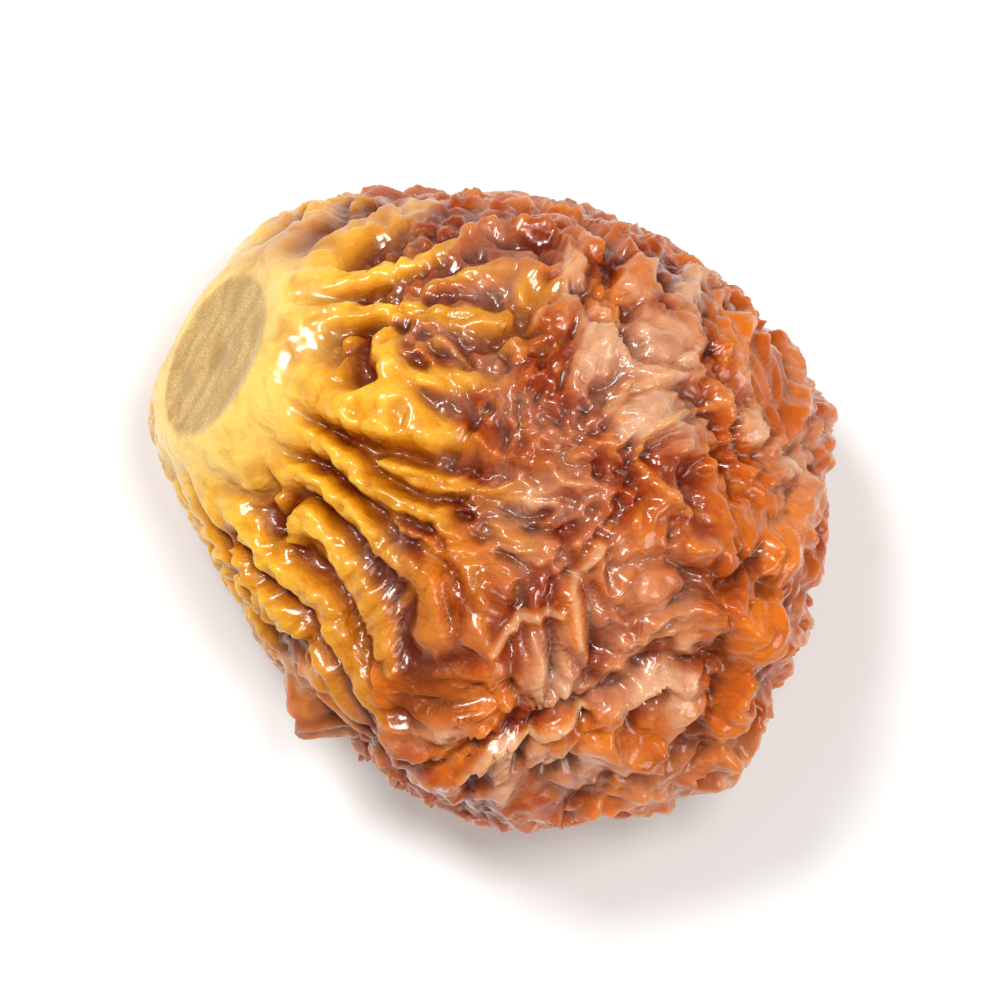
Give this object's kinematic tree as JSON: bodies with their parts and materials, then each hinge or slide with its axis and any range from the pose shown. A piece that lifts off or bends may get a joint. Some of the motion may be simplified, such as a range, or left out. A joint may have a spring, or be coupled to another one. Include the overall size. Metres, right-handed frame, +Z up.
{
  "type": "physalis berry",
  "caption": "Dried golden berry with a round stem scar, a ridged golden cap and a wrinkled red-brown body, lying on its side.",
  "frame": {"origin": "on the surface that the berry rests on, under the middle of its box", "axes": "+Z up, -X towards the stem scar"},
  "size_m": [0.0128, 0.012, 0.0094],
  "materials": {
    "dried_skin": "glossy, wrinkled"
  },
  "bodies": {
    "root": {"berry": "dried_skin"}
  },
  "joints": []
}
